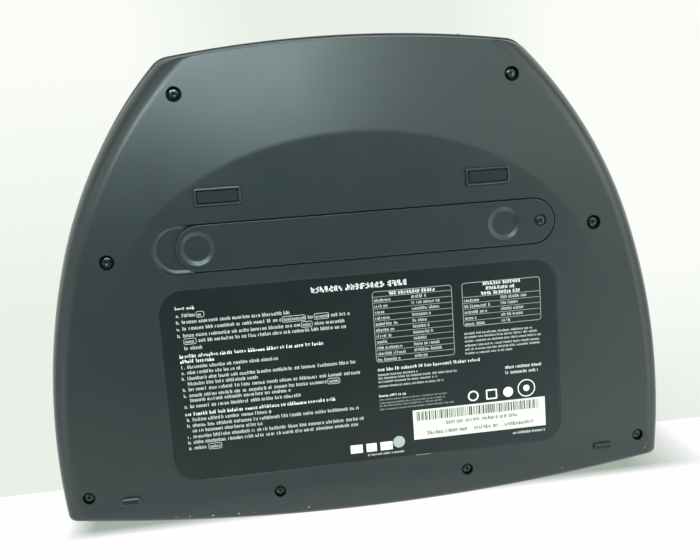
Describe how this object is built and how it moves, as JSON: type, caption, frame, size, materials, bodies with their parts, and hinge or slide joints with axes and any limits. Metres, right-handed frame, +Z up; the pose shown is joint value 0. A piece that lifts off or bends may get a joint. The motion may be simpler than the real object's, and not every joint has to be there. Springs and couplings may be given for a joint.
{
  "type": "portable word processor",
  "caption": "Slim battery word processor with a full keyboard, a wide low screen and a screwed cell cover in its curved underside.",
  "frame": {"origin": "centre of the overall box, on the plane the four feet stand on", "axes": "+X to the typist's right, +Y from the typist towards the screen and sockets, +Z up out of the keys"},
  "size_m": [0.317, 0.244, 0.0481],
  "materials": {
    "case_plastic": "fine texture",
    "key_plastic": "satin",
    "foot_rubber": "matte",
    "blackened_steel": "satin",
    "label_film": "matte",
    "sticker_paper": "matte",
    "clear_window": "polished",
    "window_print": "gloss",
    "screen_module": "satin",
    "frame_plastic": "satin",
    "dome_rubber": "matte",
    "plated_steel": "satin",
    "circuit_board": "satin",
    "socket_shell": "satin",
    "socket_plastic": "matte",
    "infrared_plastic": "gloss",
    "cell_sleeve": "satin"
  },
  "bodies": {
    "case": {"bottom_case": "case_plastic", "top_case": "case_plastic", "case_screws": "blackened_steel", "rear_feet": "foot_rubber", "underside_label": "label_film", "serial_sticker": "sticker_paper", "display_window": "clear_window", "display_mask": "window_print", "lcd_module": "screen_module", "keyboard_frame": "frame_plastic", "dome_sheet": "dome_rubber", "keyboard_plate": "plated_steel", "main_board": "circuit_board", "usb_square_socket": "socket_shell", "usb_flat_socket": "socket_shell", "power_jack": "socket_plastic", "infrared_window": "infrared_plastic", "coin_cell": "plated_steel", "battery_contacts": "plated_steel", "cells": "cell_sleeve"},
    "cover": {"battery_cover": "case_plastic", "cover_screw": "blackened_steel"},
    "on_off_key": {"on_off_key": "key_plastic"},
    "file_key_1": {"file_key_1": "key_plastic"},
    "file_key_2": {"file_key_2": "key_plastic"},
    "file_key_3": {"file_key_3": "key_plastic"},
    "file_key_4": {"file_key_4": "key_plastic"},
    "file_key_5": {"file_key_5": "key_plastic"},
    "file_key_6": {"file_key_6": "key_plastic"},
    "file_key_7": {"file_key_7": "key_plastic"},
    "file_key_8": {"file_key_8": "key_plastic"},
    "print_key": {"print_key": "key_plastic"},
    "spelling_key": {"spelling_key": "key_plastic"},
    "find_key": {"find_key": "key_plastic"},
    "clear_key": {"clear_key": "key_plastic"},
    "home_key": {"home_key": "key_plastic"},
    "end_key": {"end_key": "key_plastic"},
    "programs_key": {"programs_key": "key_plastic"},
    "send_key": {"send_key": "key_plastic"},
    "number_keys": {"number_keys": "key_plastic"},
    "backspace_key": {"backspace_key": "key_plastic"},
    "tab_key": {"tab_key": "key_plastic"},
    "upper_letter_keys": {"upper_letter_keys": "key_plastic"},
    "caps_lock_key": {"caps_lock_key": "key_plastic"},
    "home_letter_keys": {"home_letter_keys": "key_plastic"},
    "enter_key": {"enter_key": "key_plastic"},
    "left_shift_key": {"left_shift_key": "key_plastic"},
    "lower_letter_keys": {"lower_letter_keys": "key_plastic"},
    "right_shift_key": {"right_shift_key": "key_plastic"},
    "up_key": {"up_key": "key_plastic"},
    "left_control_key": {"left_control_key": "key_plastic"},
    "option_key": {"option_key": "key_plastic"},
    "left_command_key": {"left_command_key": "key_plastic"},
    "space_bar": {"space_bar": "key_plastic"},
    "right_command_key": {"right_command_key": "key_plastic"},
    "right_control_key": {"right_control_key": "key_plastic"},
    "left_key": {"left_key": "key_plastic"},
    "down_key": {"down_key": "key_plastic"},
    "right_key": {"right_key": "key_plastic"}
  },
  "joints": [
    {"name": "battery_cover_slide", "type": "slide", "parent": "case", "child": "cover", "axis": [1, 0, 0], "range_m": [0, 0.0105]},
    {"name": "on_off_key_press", "type": "slide", "parent": "case", "child": "on_off_key", "axis": [0, 0.0958, -0.9954], "range_m": [0, 0.0026], "stiffness_N_per_m": 150, "springref_m": -0.002},
    {"name": "file_key_1_press", "type": "slide", "parent": "case", "child": "file_key_1", "axis": [0, 0.0958, -0.9954], "range_m": [0, 0.0026], "stiffness_N_per_m": 150, "springref_m": -0.002},
    {"name": "file_key_2_press", "type": "slide", "parent": "case", "child": "file_key_2", "axis": [0, 0.0958, -0.9954], "range_m": [0, 0.0026], "stiffness_N_per_m": 150, "springref_m": -0.002},
    {"name": "file_key_3_press", "type": "slide", "parent": "case", "child": "file_key_3", "axis": [0, 0.0958, -0.9954], "range_m": [0, 0.0026], "stiffness_N_per_m": 150, "springref_m": -0.002},
    {"name": "file_key_4_press", "type": "slide", "parent": "case", "child": "file_key_4", "axis": [0, 0.0958, -0.9954], "range_m": [0, 0.0026], "stiffness_N_per_m": 150, "springref_m": -0.002},
    {"name": "file_key_5_press", "type": "slide", "parent": "case", "child": "file_key_5", "axis": [0, 0.0958, -0.9954], "range_m": [0, 0.0026], "stiffness_N_per_m": 150, "springref_m": -0.002},
    {"name": "file_key_6_press", "type": "slide", "parent": "case", "child": "file_key_6", "axis": [0, 0.0958, -0.9954], "range_m": [0, 0.0026], "stiffness_N_per_m": 150, "springref_m": -0.002},
    {"name": "file_key_7_press", "type": "slide", "parent": "case", "child": "file_key_7", "axis": [0, 0.0958, -0.9954], "range_m": [0, 0.0026], "stiffness_N_per_m": 150, "springref_m": -0.002},
    {"name": "file_key_8_press", "type": "slide", "parent": "case", "child": "file_key_8", "axis": [0, 0.0958, -0.9954], "range_m": [0, 0.0026], "stiffness_N_per_m": 150, "springref_m": -0.002},
    {"name": "print_key_press", "type": "slide", "parent": "case", "child": "print_key", "axis": [0, 0.0958, -0.9954], "range_m": [0, 0.0026], "stiffness_N_per_m": 150, "springref_m": -0.002},
    {"name": "spelling_key_press", "type": "slide", "parent": "case", "child": "spelling_key", "axis": [0, 0.0958, -0.9954], "range_m": [0, 0.0026], "stiffness_N_per_m": 150, "springref_m": -0.002},
    {"name": "find_key_press", "type": "slide", "parent": "case", "child": "find_key", "axis": [0, 0.0958, -0.9954], "range_m": [0, 0.0026], "stiffness_N_per_m": 150, "springref_m": -0.002},
    {"name": "clear_key_press", "type": "slide", "parent": "case", "child": "clear_key", "axis": [0, 0.0958, -0.9954], "range_m": [0, 0.0026], "stiffness_N_per_m": 150, "springref_m": -0.002},
    {"name": "home_key_press", "type": "slide", "parent": "case", "child": "home_key", "axis": [0, 0.0958, -0.9954], "range_m": [0, 0.0026], "stiffness_N_per_m": 150, "springref_m": -0.002},
    {"name": "end_key_press", "type": "slide", "parent": "case", "child": "end_key", "axis": [0, 0.0958, -0.9954], "range_m": [0, 0.0026], "stiffness_N_per_m": 150, "springref_m": -0.002},
    {"name": "programs_key_press", "type": "slide", "parent": "case", "child": "programs_key", "axis": [0, 0.0958, -0.9954], "range_m": [0, 0.0026], "stiffness_N_per_m": 150, "springref_m": -0.002},
    {"name": "send_key_press", "type": "slide", "parent": "case", "child": "send_key", "axis": [0, 0.0958, -0.9954], "range_m": [0, 0.0026], "stiffness_N_per_m": 150, "springref_m": -0.002},
    {"name": "number_keys_press", "type": "slide", "parent": "case", "child": "number_keys", "axis": [0, 0.0958, -0.9954], "range_m": [0, 0.0026], "stiffness_N_per_m": 1950, "springref_m": -0.002},
    {"name": "backspace_key_press", "type": "slide", "parent": "case", "child": "backspace_key", "axis": [0, 0.0958, -0.9954], "range_m": [0, 0.0026], "stiffness_N_per_m": 150, "springref_m": -0.002},
    {"name": "tab_key_press", "type": "slide", "parent": "case", "child": "tab_key", "axis": [0, 0.0958, -0.9954], "range_m": [0, 0.0026], "stiffness_N_per_m": 150, "springref_m": -0.002},
    {"name": "upper_letter_keys_press", "type": "slide", "parent": "case", "child": "upper_letter_keys", "axis": [0, 0.0958, -0.9954], "range_m": [0, 0.0026], "stiffness_N_per_m": 1950, "springref_m": -0.002},
    {"name": "caps_lock_key_press", "type": "slide", "parent": "case", "child": "caps_lock_key", "axis": [0, 0.0958, -0.9954], "range_m": [0, 0.0026], "stiffness_N_per_m": 150, "springref_m": -0.002},
    {"name": "home_letter_keys_press", "type": "slide", "parent": "case", "child": "home_letter_keys", "axis": [0, 0.0958, -0.9954], "range_m": [0, 0.0026], "stiffness_N_per_m": 1650, "springref_m": -0.002},
    {"name": "enter_key_press", "type": "slide", "parent": "case", "child": "enter_key", "axis": [0, 0.0958, -0.9954], "range_m": [0, 0.0026], "stiffness_N_per_m": 150, "springref_m": -0.002},
    {"name": "left_shift_key_press", "type": "slide", "parent": "case", "child": "left_shift_key", "axis": [0, 0.0958, -0.9954], "range_m": [0, 0.0026], "stiffness_N_per_m": 150, "springref_m": -0.002},
    {"name": "lower_letter_keys_press", "type": "slide", "parent": "case", "child": "lower_letter_keys", "axis": [0, 0.0958, -0.9954], "range_m": [0, 0.0026], "stiffness_N_per_m": 1500, "springref_m": -0.002},
    {"name": "right_shift_key_press", "type": "slide", "parent": "case", "child": "right_shift_key", "axis": [0, 0.0958, -0.9954], "range_m": [0, 0.0026], "stiffness_N_per_m": 150, "springref_m": -0.002},
    {"name": "up_key_press", "type": "slide", "parent": "case", "child": "up_key", "axis": [0, 0.0958, -0.9954], "range_m": [0, 0.0026], "stiffness_N_per_m": 150, "springref_m": -0.002},
    {"name": "left_control_key_press", "type": "slide", "parent": "case", "child": "left_control_key", "axis": [0, 0.0958, -0.9954], "range_m": [0, 0.0026], "stiffness_N_per_m": 150, "springref_m": -0.002},
    {"name": "option_key_press", "type": "slide", "parent": "case", "child": "option_key", "axis": [0, 0.0958, -0.9954], "range_m": [0, 0.0026], "stiffness_N_per_m": 150, "springref_m": -0.002},
    {"name": "left_command_key_press", "type": "slide", "parent": "case", "child": "left_command_key", "axis": [0, 0.0958, -0.9954], "range_m": [0, 0.0026], "stiffness_N_per_m": 150, "springref_m": -0.002},
    {"name": "space_bar_press", "type": "slide", "parent": "case", "child": "space_bar", "axis": [0, 0.0958, -0.9954], "range_m": [0, 0.0026], "stiffness_N_per_m": 150, "springref_m": -0.002},
    {"name": "right_command_key_press", "type": "slide", "parent": "case", "child": "right_command_key", "axis": [0, 0.0958, -0.9954], "range_m": [0, 0.0026], "stiffness_N_per_m": 150, "springref_m": -0.002},
    {"name": "right_control_key_press", "type": "slide", "parent": "case", "child": "right_control_key", "axis": [0, 0.0958, -0.9954], "range_m": [0, 0.0026], "stiffness_N_per_m": 150, "springref_m": -0.002},
    {"name": "left_key_press", "type": "slide", "parent": "case", "child": "left_key", "axis": [0, 0.0958, -0.9954], "range_m": [0, 0.0026], "stiffness_N_per_m": 150, "springref_m": -0.002},
    {"name": "down_key_press", "type": "slide", "parent": "case", "child": "down_key", "axis": [0, 0.0958, -0.9954], "range_m": [0, 0.0026], "stiffness_N_per_m": 150, "springref_m": -0.002},
    {"name": "right_key_press", "type": "slide", "parent": "case", "child": "right_key", "axis": [0, 0.0958, -0.9954], "range_m": [0, 0.0026], "stiffness_N_per_m": 150, "springref_m": -0.002}
  ]
}
